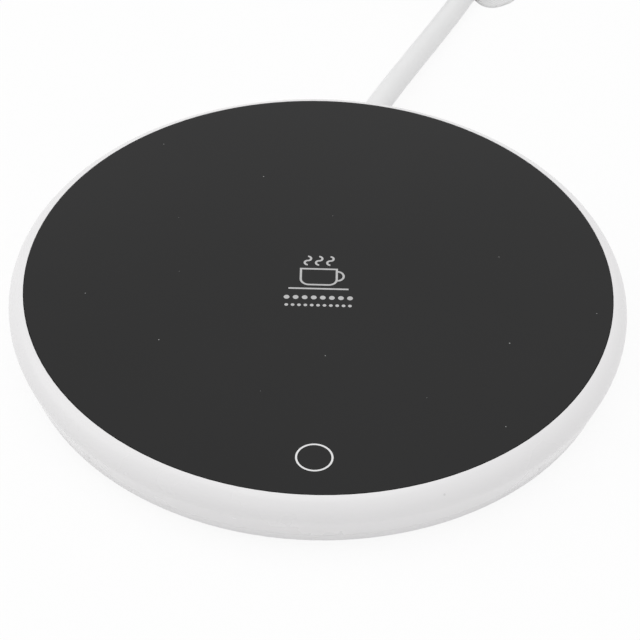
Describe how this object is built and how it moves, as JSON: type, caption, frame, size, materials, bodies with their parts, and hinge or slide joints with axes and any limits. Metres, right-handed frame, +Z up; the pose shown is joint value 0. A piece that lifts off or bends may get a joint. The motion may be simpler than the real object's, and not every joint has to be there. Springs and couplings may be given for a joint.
{
  "type": "electric mug warmer",
  "caption": "Low round electric mug warmer: flush dark glass top with a printed touch ring, white tapered case on rubber feet, mains cord with a two-pin plug.",
  "frame": {"origin": "middle of the case at the height of the table, under the rubber feet", "axes": "+Z up through the glass; the touch ring is at the front, -Y; the cord leaves at the back, about 10 degrees to the +X side of +Y"},
  "size_m": [0.1434, 0.2558, 0.0137],
  "materials": {
    "case_white": "fine satin white moulded plastic",
    "base_white": "satin white moulded plastic, a shade darker",
    "dark_glass": "dark grey glass, printed from below, flush and glossy",
    "print_white": "white ceramic ink",
    "print_grey": "light grey ceramic ink",
    "adhesive": "dark silicone adhesive",
    "thermal_pad": "soft thermal pad",
    "heat_plate": "rolled aluminium",
    "foil_track": "etched resistance foil",
    "film": "amber polyimide film",
    "insulation": "needled glass fibre",
    "sheet_steel": "zinc-plated sheet steel",
    "screw_steel": "zinc-plated steel",
    "black_resin": "black moulding resin",
    "ceramic": "pale resin body",
    "board_green": "solder-masked glass-epoxy board",
    "spring_metal": "tinned spring wire",
    "milky_plastic": "milky diffuser plastic",
    "led": "LED package",
    "capacitor": "boxed film capacitor",
    "can_aluminium": "aluminium can",
    "terminal_green": "terminal housing",
    "terminal_white": "terminal housing",
    "foot_rubber": "matt dark grey rubber",
    "cord_pvc": "soft satin white PVC",
    "plug_pvc": "satin white PVC moulded on the cord",
    "tie_strap": "white woven strap",
    "pin_metal": "nickel-plated brass",
    "wire_brown": "brown insulated wire",
    "wire_blue": "blue insulated wire",
    "wire_white": "white silicone wire",
    "wire_yellow": "pale yellow insulated wire"
  },
  "bodies": {
    "root": {"upper_case": "case_white", "base_cover": "base_white", "glass_plate": "dark_glass", "touch_ring_print": "print_white", "mug_sign_print": "print_grey", "dot_rows_print": "print_grey", "glass_bond": "adhesive", "thermal_pad": "thermal_pad", "heat_plate": "heat_plate", "heater_track": "foil_track", "heating_film": "film", "insulation_pad": "insulation", "heat_shield": "sheet_steel", "shield_screws": "screw_steel", "thermistor": "black_resin", "thermal_fuse": "ceramic", "control_board": "board_green", "touch_spring": "spring_metal", "light_guide": "milky_plastic", "status_leds": "led", "touch_chip": "black_resin", "controller_chip": "black_resin", "board_resistors": "black_resin", "film_capacitor": "capacitor", "electrolytic_capacitor": "can_aluminium", "heater_triac": "black_resin", "mains_terminal": "terminal_green", "heater_terminal": "terminal_green", "sensor_terminal": "terminal_white", "board_screws": "screw_steel", "case_screws": "screw_steel", "rubber_feet": "foot_rubber", "strain_relief": "cord_pvc", "cord_clamp": "sheet_steel", "clamp_screws": "screw_steel", "cord_tail": "cord_pvc", "live_wire": "wire_brown", "neutral_wire": "wire_blue", "heater_wires": "wire_white", "thermistor_wires": "wire_yellow", "power_cord": "cord_pvc", "cord_coil": "cord_pvc", "cord_tie": "tie_strap", "plug_body": "plug_pvc", "plug_sleeves": "plug_pvc", "plug_pins": "pin_metal"}
  },
  "joints": []
}
